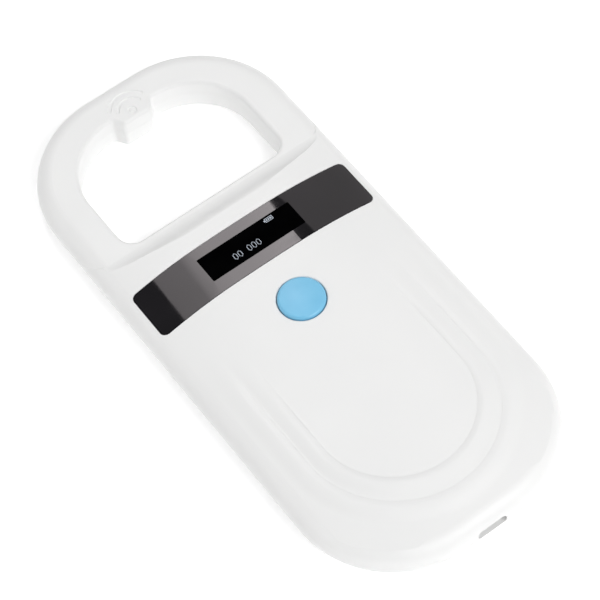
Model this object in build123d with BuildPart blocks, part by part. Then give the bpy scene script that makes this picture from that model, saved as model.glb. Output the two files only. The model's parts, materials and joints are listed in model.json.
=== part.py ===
from build123d import *
import os
from math import asin, atan, degrees, sin, sqrt

# Handheld microchip scanner: a thin rounded case with a reading loop at one end.
# Millimetres. X across the case, +Y towards the loop, +Z up from the surface the case lies on.
# The origin is at the middle of the case's footprint, on that surface.

os.makedirs("parts", exist_ok=True)

# ---------------------------------------------------------------- driving dimensions
case_length = 160.0
case_width = 71.2
case_corner = 28.0
parting_z = 6.75            # height of the line where the two shells meet
deck_z = 13.5               # highest level of the body
loop_top_z = 11.25          # the reading loop is thinner than the body
loop_bottom_z = 1.35
wall = 2.0                  # shell thickness
shell_seam = 0.02           # half of the fine gap along the parting line
spare = 5.0                 # cutting tools reach this far past what they cut

edge_radius = 4.9           # rounding of the deck into the side
crown_inset = 25.6          # the deck falls away within this distance of the side
loop_inset = 0.02           # the loop's side lies this far inside the body's side

step_start_y = 26.5         # the deck and the back step in to the loop's levels from here
step_top_run = 7.0
step_back_run = 5.0
step_brow_share = 0.35      # the step is an S, and its outer bend takes this much of its run
step_ease = 0.03            # the S reaches this far past both levels, so that it meets them cleanly
step_end_turn = 3.0         # degrees short of level at which its inner bend becomes a straight line
step_overlap = 0.2          # the tool for one side reaches this far past the parting line

hole_half_width = 24.5
hole_near_y = 34.3
hole_far_y = 69.2
hole_near_corner = 4.5
hole_far_corner = 17.5
hole_wall = 1.8
rim_radius = 1.0            # rounding of the hole's rims

tooth_tip_y = 66.1          # small tooth on the hole's far edge
tooth_tip_half = 4.0
tooth_root_half = 5.9
tooth_tip_corner = 1.3
tooth_root_corner = 1.2

symbol_y = 68.6             # wave symbol pressed into the loop beside the tooth
symbol_depth = 0.3
symbol_stroke = 1.15
symbol_ring_outer = 1.35
symbol_ring_inner = 0.45
symbol_slope = 0.22         # the grooves' floors narrow by this much on each side
symbol_arcs = ((3.75, 62), (5.9, 57))   # radius and half angle of each arc

fascia_half_width = 32.1
fascia_near_y = 8.0
fascia_far_y = 22.35
fascia_bow = 0.8            # the fascia's ends curve this far back towards the button
fascia_corner = 1.6
fascia_thickness = 1.0
fascia_gap = 0.15
glue_thickness = 0.15
glue_inset = 0.6            # the glue stops this far inside the fascia's edge

lens_length = 27.8
lens_height = 7.6
lens_y = 15.4
lens_top_z = 13.42
lens_thickness = 0.8
lens_corner = 0.25
lens_gap = 0.05             # play between the lens and the fascia
window_length = lens_length + 1.6       # opening in the shell and the glue under the fascia
window_height = lens_height + 1.4
window_corner = 0.8

button_y = -5.75
button_hole_radius = 6.25
button_radius = 6.05
button_rim_z = 14.25
button_crown_z = 14.65

usb_slot_width = 8.4
usb_slot_height = 2.8
usb_slot_top_z = 8.35
usb_slot_corner = 1.2

board_bottom_z = 8.1
board_thickness = 1.0
board_half_width = 23.5
board_near_y = -76.5
board_far_y = 23.6
board_near_corner = 16.0
board_far_corner = 1.5
board_screw_points = [(-17.0, -66.0), (17.0, -66.0), (-21.0, 20.6), (21.0, 20.6)]

shell_screw_points = [(-27.5, -46.0), (27.5, -46.0), (-28.0, 22.0), (28.0, 22.0)]

# ---------------------------------------------------------------- worked out
half_width = case_width / 2
half_length = case_length / 2
corner_x = half_width - case_corner
corner_y = half_length - case_corner
base_radius = parting_z
board_top_z = board_bottom_z + board_thickness
deck_rise = deck_z - parting_z
crown_run = crown_inset - edge_radius
crown_radius = (crown_run**2 + deck_rise**2 - edge_radius**2) / (2 * (deck_rise - edge_radius))
crown_tilt = degrees(asin(crown_run / (crown_radius - edge_radius)))


# ---------------------------------------------------------------- outer form
def deck_edge(skin):
    """Half section of the body above the parting line, skin deep inside its surface."""
    with BuildLine() as line:
        side = CenterArc((edge_radius, parting_z), edge_radius - skin, 180, crown_tilt - 90)
        crown = CenterArc(
            (crown_inset, deck_z - crown_radius), crown_radius - skin, 90 + crown_tilt, -crown_tilt
        )
        Polyline(crown @ 1, (case_corner, deck_z - skin), (case_corner, parting_z), side @ 0)
    return line.line


def base_edge(skin):
    """Half section of the body below the parting line."""
    with BuildLine() as line:
        side = CenterArc((base_radius, parting_z), base_radius - skin, 180, 90)
        Polyline(side @ 1, (case_corner, skin), (case_corner, parting_z), side @ 0)
    return line.line


def loop_edge(skin, level):
    """Half section of the loop on one side of the parting line, up or down to level."""
    rise = abs(level - parting_z)
    turn = -90 if level > parting_z else 90
    with BuildLine() as line:
        side = CenterArc((loop_inset + rise, parting_z), rise - skin, 180, turn)
        Polyline(side @ 1, (case_corner, (side @ 1).Y), (case_corner, parting_z), side @ 0)
    return line.line


def rounded_slab(section):
    """Carry a half section, drawn as (distance in from the side, height), round the outline."""
    side_plane = Plane(origin=(half_width, 0, 0), x_dir=(-1, 0, 0), z_dir=(0, 1, 0))
    corner_plane = Plane(origin=(half_width, corner_y, 0), x_dir=(-1, 0, 0), z_dir=(0, 1, 0))
    end_plane = Plane(origin=(corner_x, half_length, 0), x_dir=(0, -1, 0), z_dir=(-1, 0, 0))
    low = min(v.Y for v in section.vertices())
    high = max(v.Y for v in section.vertices())
    with BuildPart() as slab:
        with BuildSketch(side_plane):
            add(section)
            make_face()
        extrude(amount=corner_y)
        with BuildSketch(corner_plane):
            add(section)
            make_face()
        revolve(axis=Axis((corner_x, corner_y, 0), (0, 0, 1)), revolution_arc=90)
        with BuildSketch(end_plane):
            add(section)
            make_face()
        extrude(amount=corner_x)
        with BuildSketch(Plane.XY.offset(low)):
            Rectangle(corner_x, corner_y, align=(Align.MIN, Align.MIN))
        extrude(amount=high - low)
        mirror(about=Plane.XZ)
        mirror(about=Plane.YZ)
    return slab.part


def step_tool(skin, run, level, far_level, up):
    """Space beyond the S shaped step, above it (up = 1) or below it (up = -1)."""
    drop = abs(level - far_level) + 2 * step_ease
    turn = 2 * atan(drop / run)
    brow = step_brow_share * run / sin(turn)
    foot = run / sin(turn) - brow
    turn = degrees(turn)
    first_z = level + up * step_ease
    end_z = parting_z - up * step_overlap
    away_z = level + up * spare
    away_y = half_length + spare
    with BuildPart() as tool:
        with BuildSketch(Plane.YZ):
            with BuildLine():
                outer_bend = CenterArc(
                    (step_start_y, first_z - up * brow), brow - skin, up * 90, -up * turn
                )
                inner_bend = CenterArc(
                    (step_start_y + run, first_z + up * (foot - drop)),
                    foot + skin,
                    up * (270 - turn),
                    up * (turn - step_end_turn),
                )
                foot_end = inner_bend @ 1
                Polyline(
                    foot_end,
                    (foot_end.X + 2 * abs(foot_end.Y - end_z), end_z),
                    (away_y, end_z),
                    (away_y, away_z),
                    (step_start_y - spare, away_z),
                    outer_bend @ 0,
                )
            make_face()
        extrude(amount=half_width + spare, both=True)
        add(rounded_slab(loop_edge(skin, far_level)), mode=Mode.SUBTRACT)
    return tool.part


def upper_form(skin):
    """Everything of the case above the parting line, skin deep inside its surface."""
    with BuildPart() as form:
        add(rounded_slab(deck_edge(skin)))
        add(step_tool(skin, step_top_run, deck_z, loop_top_z, 1), mode=Mode.SUBTRACT)
    return form.part


def lower_form(skin):
    """Everything of the case below the parting line, skin deep inside its surface."""
    with BuildPart() as form:
        add(rounded_slab(base_edge(skin)))
        add(step_tool(skin, step_back_run, 0, loop_bottom_z, -1), mode=Mode.SUBTRACT)
    return form.part


def plain_hole(grow):
    """Outline of the reading hole without its tooth, grown outwards."""
    with BuildSketch() as hole:
        with BuildLine():
            Polyline(
                (-hole_half_width - grow, hole_near_y - grow),
                (hole_half_width + grow, hole_near_y - grow),
                (hole_half_width + grow, hole_far_y + grow),
                (-hole_half_width - grow, hole_far_y + grow),
                close=True,
            )
        make_face()
        fillet(hole.vertices().group_by(Axis.Y)[0], hole_near_corner + grow)
        fillet(hole.vertices().group_by(Axis.Y)[-1], hole_far_corner + grow)
    return hole.sketch


def toothed_hole():
    with BuildSketch() as hole:
        add(plain_hole(0))
        with BuildLine():
            Polyline(
                (-tooth_tip_half, tooth_tip_y),
                (tooth_tip_half, tooth_tip_y),
                (tooth_root_half, hole_far_y),
                (tooth_root_half, hole_far_y + spare),
                (-tooth_root_half, hole_far_y + spare),
                (-tooth_root_half, hole_far_y),
                close=True,
            )
        make_face(mode=Mode.SUBTRACT)
        tip = hole.vertices().filter_by_position(Axis.Y, tooth_tip_y - 0.1, tooth_tip_y + 0.1)
        fillet(tip, tooth_tip_corner)
        roots = hole.vertices().filter_by_position(Axis.X, -tooth_root_half - 0.1, tooth_root_half + 0.1)
        roots = roots.filter_by_position(Axis.Y, hole_far_y - 0.8, hole_far_y + 0.1)
        fillet(roots, tooth_root_corner)
    return hole.sketch


def hollow(form):
    """Inner space of a form, which stops at the wall round the reading hole."""
    with BuildPart() as space:
        add(form)
        with BuildSketch(Plane.XY):
            add(plain_hole(hole_wall))
        extrude(amount=deck_z + spare, both=True, mode=Mode.SUBTRACT)
    return space.part


def fascia_outline(grow):
    half = fascia_half_width + grow
    near_y = fascia_near_y - grow
    far_y = fascia_far_y + grow
    with BuildSketch() as outline:
        with BuildLine():
            near = ThreePointArc((-half, near_y - fascia_bow), (0, near_y), (half, near_y - fascia_bow))
            far = ThreePointArc((half, far_y - fascia_bow), (0, far_y), (-half, far_y - fascia_bow))
            Line(near @ 1, far @ 0)
            Line(far @ 1, near @ 0)
        make_face()
        fillet(outline.vertices(), fascia_corner + grow)
    return outline.sketch


def fascia_layer(outer_skin, inner_skin, grow):
    """Slice of the deck between two depths, inside the fascia's outline."""
    with BuildPart() as layer:
        with BuildSketch(Plane.XY.offset(parting_z + shell_seam)):
            add(fascia_outline(grow))
        extrude(amount=deck_rise + spare)
        add(upper_form(outer_skin), mode=Mode.INTERSECT)
        add(upper_form(inner_skin), mode=Mode.SUBTRACT)
    return layer.part


def usb_slot():
    with BuildPart() as slot:
        with BuildSketch(Plane.XZ.offset(half_length + spare)):
            with Locations((0, usb_slot_top_z - usb_slot_height / 2)):
                RectangleRounded(usb_slot_width, usb_slot_height, usb_slot_corner)
        extrude(amount=-2 * spare)
    return slot.part


def columns(points, radius, low, high):
    """Round columns, or the holes for them."""
    with BuildPart() as group:
        with BuildSketch(Plane.XY.offset(low)):
            with Locations(*points):
                Circle(radius)
        extrude(amount=high - low)
    return group.part


def seam_lip(inner, outer, low, high):
    with BuildPart() as lip:
        with BuildSketch(Plane.XY.offset(low)):
            RectangleRounded(case_width - 2 * outer, case_length - 2 * outer, case_corner - outer)
            RectangleRounded(
                case_width - 2 * inner, case_length - 2 * inner, case_corner - inner, mode=Mode.SUBTRACT
            )
        extrude(amount=high - low)
    return lip.part


# ---------------------------------------------------------------- deck details
ripple_rise = 0.2
ripple_root = 0.05          # the ridge's slopes start this far below the deck
ripple_inner_run = 1.5      # it rises over this distance
ripple_outer_run = 3.3      # and falls away over this one
ripple_arm_end = -6.0
ripple_fade_y = -30.0       # the arms sink into the deck beyond here
ripple_floor_z = 11.0
ripple_sizes = ((-42.0, 20.0, 25.2), (-43.2, 25.0, 30.2))


def ripple(centre_y, inner, outer):
    """Low U shaped ridge on the deck, steeper on its inner side, with arms that sink into the deck."""
    arm = ripple_arm_end - centre_y

    def reach(edge):
        middle = edge @ 0.5
        return abs(middle.X) if middle.Y > centre_y else sqrt(middle.X**2 + (middle.Y - centre_y) ** 2)

    def upper_edges(distance):
        edges = [e for e in ridge.edges() if (e @ 0.5).Z > ripple_floor_z + 0.4 and e.length > 1]
        edges = [e for e in edges if (e @ 0.5).Y < ripple_arm_end - 0.1]
        return [e for e in edges if abs(reach(e) - distance) < 0.05]

    with BuildPart() as ridge:
        with BuildSketch(Plane.XY.offset(ripple_floor_z)):
            with Locations((0, centre_y)):
                Circle(outer)
                Rectangle(2 * outer, arm, align=(Align.CENTER, Align.MIN))
                Circle(inner, mode=Mode.SUBTRACT)
                Rectangle(2 * inner, arm, align=(Align.CENTER, Align.MIN), mode=Mode.SUBTRACT)
        extrude(amount=5)
        add(upper_form(-ripple_rise), mode=Mode.INTERSECT)
        chamfer(upper_edges(outer), length=ripple_rise + ripple_root, length2=ripple_outer_run)
        chamfer(upper_edges(inner), length=ripple_rise + ripple_root, length2=ripple_inner_run)
    # the arms fade under a copy of the deck that is tilted down towards their ends
    tilt = degrees(atan((ripple_rise + ripple_root) / (ripple_arm_end - ripple_fade_y)))
    lid = upper_form(-ripple_rise).rotate(Axis((0, ripple_fade_y, deck_z), (1, 0, 0)), -tilt)
    return ridge.part & lid


def wave_symbol():
    """Ringed dot and two arcs, pressed into the loop."""
    floor = loop_top_z - symbol_depth
    with BuildPart() as symbol:
        with BuildSketch(Plane.XY.offset(floor)):
            with Locations((0, symbol_y)):
                Circle(symbol_ring_outer)
                Circle(symbol_ring_inner, mode=Mode.SUBTRACT)
            for radius, reach in symbol_arcs:
                with BuildLine(mode=Mode.PRIVATE) as arc:
                    CenterArc((0, symbol_y), radius, 90 - reach, 2 * reach)
                SlotArc(arc.line.edge(), symbol_stroke)
        extrude(amount=spare)
        chamfer(symbol.edges().group_by(Axis.Z)[0], symbol_slope)
    return symbol.part


def fascia_recess():
    with BuildPart() as recess:
        with BuildSketch(Plane.XY.offset(parting_z + shell_seam)):
            add(fascia_outline(fascia_gap))
        extrude(amount=deck_rise + spare)
        add(upper_form(fascia_thickness + glue_thickness), mode=Mode.SUBTRACT)
    return recess.part


# ---------------------------------------------------------------- top shell
boss_joint_z = 7.0
boss_radius = 2.6
boss_top_z = 10.4
boss_hole_top_z = 9.6
screw_radius = 1.0
thread_bite = 0.02          # the holes in the bosses are this much larger than the screws
guide_outer = 8.8
guide_inner = 7.6
guide_bottom_z = board_top_z + 0.7
guide_height = 2.0
mouth_radius = 0.35         # rounding of the button hole's rim
lip_outer = 1.0
lip_inner = 2.1
lip_top_z = 7.7
lip_gap = 0.08              # play between the lip and its rebate
rebate_inset = 0.5          # the rebate runs this far past the lip's inner side

upper_outside = upper_form(0)

with BuildPart() as top_shell:
    add(upper_outside)
    with BuildSketch(Plane.XY):
        add(toothed_hole())
    extrude(amount=deck_z + spare, mode=Mode.SUBTRACT)
    rim = top_shell.edges().filter_by_position(Axis.Z, loop_top_z - 0.01, loop_top_z + 0.01)
    rim = [e for e in rim if e.bounding_box().min.Y > hole_near_y - 1]
    rim = [e for e in rim if e.bounding_box().max.Y < hole_far_y + 1]
    fillet(rim, rim_radius)
    for centre_y, inner, outer in ripple_sizes:
        add(ripple(centre_y, inner, outer))
    add(hollow(upper_form(wall)), mode=Mode.SUBTRACT)
    add(wave_symbol(), mode=Mode.SUBTRACT)
    add(fascia_recess(), mode=Mode.SUBTRACT)
    # window under the fascia, for the display
    with BuildSketch(Plane.XY.offset(board_top_z)):
        with Locations((0, lens_y)):
            RectangleRounded(window_length, window_height, window_corner)
    extrude(amount=deck_z - board_top_z, mode=Mode.SUBTRACT)
    # button hole with a guide ring below it
    with BuildSketch(Plane.XY.offset(guide_bottom_z)):
        with Locations((0, button_y)):
            Circle(guide_outer)
    extrude(amount=guide_height)
    with BuildSketch(Plane.XY.offset(board_top_z)):
        with Locations((0, button_y)):
            Circle(guide_inner)
    extrude(amount=deck_z - wall - board_top_z, mode=Mode.SUBTRACT)
    with BuildSketch(Plane.XY.offset(board_top_z)):
        with Locations((0, button_y)):
            Circle(button_hole_radius)
    extrude(amount=deck_z - board_top_z + spare, mode=Mode.SUBTRACT)
    rounds = top_shell.edges().filter_by(GeomType.CIRCLE)
    rounds = rounds.filter_by_position(Axis.Z, deck_z - 0.01, deck_z + 0.01)
    mouth = [e for e in rounds if abs(e.radius - button_hole_radius) < 0.01]
    fillet(mouth, mouth_radius)
    # screw bosses
    boss_hole_radius = screw_radius + thread_bite
    add(columns(shell_screw_points, boss_radius, boss_joint_z, boss_top_z))
    add(columns(shell_screw_points, boss_hole_radius, boss_joint_z, boss_hole_top_z), mode=Mode.SUBTRACT)
    # rebate for the lower shell's lip, the inlet and the seam
    rebate_inner = lip_inner + rebate_inset
    add(seam_lip(rebate_inner, lip_outer - lip_gap, 0, lip_top_z + lip_gap), mode=Mode.SUBTRACT)
    add(usb_slot(), mode=Mode.SUBTRACT)
    with BuildSketch(Plane.XY.offset(parting_z - 1)):
        Rectangle(case_width + 2, case_length + 2)
    extrude(amount=1 + shell_seam, mode=Mode.SUBTRACT)

# ---------------------------------------------------------------- bottom shell
post_radius = 2.2           # posts that the board stands on
tower_radius = 3.0          # columns that the shell screws pass through
screw_head_radius = 1.9
head_recess_z = 2.0
head_gap = 0.25
shank_gap = 0.15
thread_radius = 0.82        # holes for the board's screws
thread_low_z = 3.5
weld = 0.5                  # ribs, posts and towers run this far into what they stand on
lip_root_z = 4.8

battery_near_y = -62.0
battery_far_y = -12.0
battery_half_width = 17.0
battery_bottom_z = 2.4
battery_thickness = 5.2
battery_corner = 1.5
battery_edge = 1.0
battery_gap = 0.3
rib_thickness = 1.0
rib_height = 3.0
side_rib_length = 30.0
end_rib_length = 8.0
end_rib_x = 10.0

with BuildPart() as bottom_shell:
    add(lower_form(0))
    add(hollow(lower_form(wall)), mode=Mode.SUBTRACT)
    add(columns(shell_screw_points, tower_radius, wall - weld, parting_z))
    add(columns(board_screw_points, post_radius, wall - weld, parting_z))
    # low ribs round the battery
    battery_y = (battery_near_y + battery_far_y) / 2
    rib_offset = battery_gap + rib_thickness / 2
    with BuildSketch(Plane.XY.offset(wall - weld)):
        for side in (-1, 1):
            with Locations((side * (battery_half_width + rib_offset), battery_y)):
                Rectangle(rib_thickness, side_rib_length)
            with Locations((side * end_rib_x, battery_near_y - rib_offset)):
                Rectangle(end_rib_length, rib_thickness)
    extrude(amount=rib_height + weld)
    with BuildSketch(Plane.XY):
        add(toothed_hole())
    extrude(amount=deck_z, mode=Mode.SUBTRACT)
    rim = bottom_shell.edges().filter_by_position(Axis.Z, loop_bottom_z - 0.01, loop_bottom_z + 0.01)
    rim = [e for e in rim if e.bounding_box().min.Y > hole_near_y - 1]
    rim = [e for e in rim if e.bounding_box().max.Y < hole_far_y + 1]
    fillet(rim, rim_radius)
    with BuildSketch(Plane.XY.offset(parting_z - shell_seam)):
        Rectangle(case_width + 2, case_length + 2)
    extrude(amount=1, mode=Mode.SUBTRACT)
    # lip that fits inside the upper shell
    add(seam_lip(lip_inner, lip_outer, lip_root_z, lip_top_z))
    add(columns(shell_screw_points, tower_radius, parting_z - weld, boss_joint_z))
    add(columns(board_screw_points, post_radius, parting_z - weld, board_bottom_z))
    shank_hole_radius = screw_radius + shank_gap
    head_hole_radius = screw_head_radius + head_gap
    add(columns(shell_screw_points, shank_hole_radius, -1, boss_joint_z), mode=Mode.SUBTRACT)
    add(columns(shell_screw_points, head_hole_radius, -1, head_recess_z), mode=Mode.SUBTRACT)
    add(columns(board_screw_points, thread_radius, thread_low_z, board_bottom_z), mode=Mode.SUBTRACT)
    add(usb_slot(), mode=Mode.SUBTRACT)

# ---------------------------------------------------------------- fascia and display
with BuildPart() as display_fascia:
    add(fascia_layer(0, fascia_thickness, 0))
    with BuildSketch(Plane.XY.offset(board_top_z)):
        with Locations((0, lens_y)):
            RectangleRounded(lens_length + 2 * lens_gap, lens_height + 2 * lens_gap, lens_corner)
    extrude(amount=deck_z - board_top_z, mode=Mode.SUBTRACT)

with BuildPart() as fascia_adhesive:
    add(fascia_layer(fascia_thickness, fascia_thickness + glue_thickness, -glue_inset))
    with BuildSketch(Plane.XY.offset(board_top_z)):
        with Locations((0, lens_y)):
            RectangleRounded(window_length, window_height, window_corner)
    extrude(amount=deck_z - board_top_z, mode=Mode.SUBTRACT)

with BuildPart() as display_lens:
    with BuildSketch(Plane.XY.offset(lens_top_z - lens_thickness)):
        with Locations((0, lens_y)):
            RectangleRounded(lens_length, lens_height, lens_corner)
    extrude(amount=lens_thickness)

oled_bottom_z = 9.95
oled_thickness = 1.45
oled_half_length = 15.0
oled_half_height = 5.75
oled_cover_thickness = 0.6
oled_ledge = 3.0            # the cover glass is shorter, which leaves a ledge for the ribbon
foam_edge = 3.0             # width of the foam frame under the display

with BuildPart() as oled_panel:
    with BuildSketch(Plane.XY.offset(oled_bottom_z)):
        with Locations((0, lens_y)):
            Rectangle(2 * oled_half_length, 2 * oled_half_height)
    extrude(amount=oled_thickness - oled_cover_thickness)
    with BuildSketch(Plane.XY.offset(oled_bottom_z + oled_thickness - oled_cover_thickness)):
        with Locations((-oled_ledge / 2, lens_y)):
            Rectangle(2 * oled_half_length - oled_ledge, 2 * oled_half_height)
    extrude(amount=oled_cover_thickness)

with BuildPart() as oled_foam:
    with BuildSketch(Plane.XY.offset(board_top_z)):
        with Locations((0, lens_y)):
            foam_length = 2 * oled_half_length - 2
            foam_height = 2 * oled_half_height - 1
            RectangleRounded(foam_length, foam_height, window_corner)
            RectangleRounded(
                foam_length - 2 * foam_edge, foam_height - 2 * foam_edge, window_corner, mode=Mode.SUBTRACT
            )
    extrude(amount=oled_bottom_z - board_top_z)

ribbon_thickness = 0.15
ribbon_half_width = 4.0
ribbon_bend = 0.6
ribbon_start_z = oled_bottom_z + oled_thickness - oled_cover_thickness + ribbon_thickness / 2
ribbon_end_z = board_top_z + ribbon_thickness / 2

with BuildPart() as oled_flex:
    with BuildLine(Plane.XZ.offset(-lens_y)) as ribbon_route:
        FilletPolyline(
            (oled_half_length - 1.2, ribbon_start_z),
            (oled_half_length + 1.6, ribbon_start_z),
            (oled_half_length + 2.6, ribbon_end_z),
            (oled_half_length + 4.0, ribbon_end_z),
            radius=ribbon_bend,
        )
    with BuildSketch(Plane(origin=ribbon_route.line @ 0, x_dir=(0, 1, 0), z_dir=(1, 0, 0))):
        Rectangle(2 * ribbon_half_width, ribbon_thickness)
    sweep(path=ribbon_route.line)

# ---------------------------------------------------------------- button and switch
cap_wall = 1.2
cap_flange_radius = 7.3
cap_flange_bottom_z = 10.65
cap_flange_top_z = 11.45
stem_radius = 1.6
shoulder_drop = 0.9         # the cap's rim is rounded over this height
shoulder_run = 0.95
switch_half = 3.0
switch_corner = 0.4
switch_top_z = 11.3
cover_thickness = 0.3
plunger_radius = 1.75
plunger_top_z = 12.0
plunger_bottom_z = 10.3
plunger_gap = 0.02
collar_width = 0.5
collar_height = 0.6
collar_gap = 0.15
leg_length = 1.2
leg_breadth = 0.7
leg_thickness = 0.25
leg_pitch = 4.5
leg_x = switch_half + leg_length / 2

with BuildPart() as button_cap:
    with BuildSketch(Plane.XZ.offset(-button_y)):
        with BuildLine():
            Line((0, plunger_top_z + plunger_gap), (stem_radius, plunger_top_z + plunger_gap))
            Line((stem_radius, plunger_top_z + plunger_gap), (stem_radius, button_rim_z - cap_wall))
            Line((stem_radius, button_rim_z - cap_wall), (button_radius - cap_wall, button_rim_z - cap_wall))
            Polyline(
                (button_radius - cap_wall, button_rim_z - cap_wall),
                (button_radius - cap_wall, cap_flange_bottom_z),
                (cap_flange_radius, cap_flange_bottom_z),
                (cap_flange_radius, cap_flange_top_z),
                (button_radius, cap_flange_top_z),
                (button_radius, button_rim_z - shoulder_drop),
            )
            shoulder = Spline(
                (button_radius, button_rim_z - shoulder_drop),
                (button_radius - shoulder_run, button_rim_z),
                tangents=[(0, 1), (-1, 0.02)],
            )
            dome = Spline(shoulder @ 1, (0, button_crown_z), tangents=[(-1, 0.16), (-1, 0)])
            Line(dome @ 1, (0, plunger_top_z + plunger_gap))
        make_face()
    revolve(axis=Axis((0, button_y, 0), (0, 0, 1)))

with BuildPart() as switch_body:
    with BuildSketch(Plane.XY.offset(board_top_z)):
        with Locations((0, button_y)):
            RectangleRounded(2 * switch_half, 2 * switch_half, switch_corner)
    extrude(amount=switch_top_z - cover_thickness - board_top_z)
    with BuildSketch(Plane.XY.offset(board_top_z + 0.6)):
        with Locations((0, button_y)):
            Circle(plunger_radius + collar_width + collar_gap)
    extrude(amount=switch_top_z - board_top_z, mode=Mode.SUBTRACT)

with BuildPart() as switch_cover:
    with BuildSketch(Plane.XY.offset(switch_top_z - cover_thickness)):
        with Locations((0, button_y)):
            RectangleRounded(2 * switch_half, 2 * switch_half, switch_corner)
            Circle(plunger_radius + 0.12, mode=Mode.SUBTRACT)
    extrude(amount=cover_thickness)

with BuildPart() as switch_plunger:
    with BuildSketch(Plane.XY.offset(plunger_bottom_z)):
        with Locations((0, button_y)):
            Circle(plunger_radius)
    extrude(amount=plunger_top_z - plunger_bottom_z)
    fillet(switch_plunger.edges().group_by(Axis.Z)[-1], 0.2)
    # collar that the cover holds in
    with BuildSketch(Plane.XY.offset(plunger_bottom_z)):
        with Locations((0, button_y)):
            Circle(plunger_radius + collar_width)
    extrude(amount=collar_height)

with BuildPart() as switch_legs:
    for side_x in (-1, 1):
        for side_y in (-1, 1):
            with BuildSketch(Plane.XY.offset(board_top_z)):
                with Locations((side_x * leg_x, button_y + side_y * leg_pitch / 2)):
                    Rectangle(leg_length, leg_breadth)
            extrude(amount=leg_thickness)

# ---------------------------------------------------------------- board and battery
with BuildPart() as main_board:
    with BuildSketch(Plane.XY.offset(board_bottom_z)):
        with BuildLine():
            Polyline(
                (-board_half_width, board_near_y),
                (board_half_width, board_near_y),
                (board_half_width, board_far_y),
                (-board_half_width, board_far_y),
                close=True,
            )
        board_outline = make_face()
        fillet(board_outline.vertices().group_by(Axis.Y)[0], board_near_corner)
        fillet(board_outline.vertices().group_by(Axis.Y)[-1], board_far_corner)
        with Locations(*board_screw_points):
            Circle(screw_radius + 0.1, mode=Mode.SUBTRACT)
    extrude(amount=board_thickness)


def pan_screws(points, radius, head_radius, head_z, head_height, tip_z, up):
    """Screws with a domed head and a cross recess; up = 1 when the head is on top."""
    with BuildPart() as group:
        for x, y in points:
            with BuildSketch(Plane(origin=(x, y, head_z), x_dir=(1, 0, 0), z_dir=(0, -1, 0))):
                with BuildLine():
                    dome = ThreePointArc(
                        (0, up * head_height),
                        (0.72 * head_radius, up * head_height * 0.86),
                        (head_radius, up * head_height * 0.25),
                    )
                    Polyline(
                        dome @ 1,
                        (head_radius, 0),
                        (radius, 0),
                        (radius, tip_z - head_z),
                        (0, tip_z - head_z),
                        dome @ 0,
                    )
                make_face()
            revolve(axis=Axis((x, y, 0), (0, 0, 1)))
            with BuildSketch(Plane.XY.offset(head_z + up * head_height)):
                with Locations((x, y)):
                    Rectangle(1.2 * head_radius, 0.24 * head_radius)
                    Rectangle(0.24 * head_radius, 1.2 * head_radius)
            extrude(amount=-up * 0.55 * head_height, mode=Mode.SUBTRACT)
    return group.part


board_screw_radius = 0.8
board_screw_head_radius = 1.6
board_screw_head = 1.1
board_screw_tip_z = 4.2
shell_screw_head = 1.3
shell_screw_tip_z = 9.2

with BuildPart() as board_screws:
    add(
        pan_screws(
            board_screw_points,
            board_screw_radius,
            board_screw_head_radius,
            board_top_z,
            board_screw_head,
            board_screw_tip_z,
            1,
        )
    )

with BuildPart() as shell_screws:
    add(
        pan_screws(
            shell_screw_points,
            screw_radius,
            screw_head_radius,
            head_recess_z,
            shell_screw_head,
            shell_screw_tip_z,
            -1,
        )
    )

with BuildPart() as battery_cell:
    with BuildSketch(Plane.XY.offset(battery_bottom_z)):
        with Locations((0, battery_y)):
            RectangleRounded(2 * battery_half_width, battery_far_y - battery_near_y, battery_corner)
    extrude(amount=battery_thickness)
    levels = battery_cell.edges().group_by(Axis.Z)
    fillet(levels[-1] + levels[0], battery_edge)

foam_pad_width = 24.0
foam_pad_length = 40.0

with BuildPart() as battery_foam:
    with BuildSketch(Plane.XY.offset(wall)):
        with Locations((0, battery_y)):
            Rectangle(foam_pad_width, foam_pad_length)
    extrude(amount=battery_bottom_z - wall)

guard_bottom_z = 4.4        # protection board at the battery's far end
guard_width = 28.0
guard_depth = 3.2
guard_thickness = 1.2

with BuildPart() as battery_protection_board:
    with BuildSketch(Plane.XY.offset(guard_bottom_z)):
        with Locations((0, battery_far_y + guard_depth / 2)):
            Rectangle(guard_width, guard_depth)
    extrude(amount=guard_thickness)

lead_x = -12.0
lead_pitch = 2.0
lead_diameter = 0.9
lead_route = [(-3.0, 6.3), (-4.6, 6.3), (-6.4, 5.0), (-8.8, 5.0)]
wire_bend = 1.2
socket_near_y = -1.0
socket_width = 8.0
socket_height = 3.6
socket_length = 6.0
socket_mouth_width = 6.6
socket_mouth_height = 2.6
socket_mouth_depth = 4.5
socket_z = board_bottom_z - socket_height / 2
plug_gap = 0.1
plug_length = 6.2
plug_overhang = 2.0

with BuildPart() as battery_socket:
    with BuildSketch(Plane.XZ.offset(-socket_near_y)):
        with Locations((lead_x, socket_z)):
            Rectangle(socket_width, socket_height)
    extrude(amount=-socket_length)
    with BuildSketch(Plane.XZ.offset(-socket_near_y)):
        with Locations((lead_x, socket_z)):
            Rectangle(socket_mouth_width, socket_mouth_height)
    extrude(amount=-socket_mouth_depth, mode=Mode.SUBTRACT)

with BuildPart() as battery_plug:
    with BuildSketch(Plane.XZ.offset(-socket_near_y + plug_overhang)):
        with Locations((lead_x, socket_z)):
            Rectangle(socket_mouth_width - 2 * plug_gap, socket_mouth_height - 2 * plug_gap)
    extrude(amount=-plug_length)


def wire_pair(places, route, diameter):
    """Two wires side by side, one at each x in places, along a route of (y, z) points."""
    with BuildPart() as pair:
        for x in places:
            with BuildLine() as path:
                FilletPolyline(*[(x, y, z) for y, z in route], radius=wire_bend)
            with BuildSketch(Plane(origin=path.line @ 0, z_dir=path.line % 0)):
                Circle(diameter / 2)
            sweep(path=path.line)
    return pair.part


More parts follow.
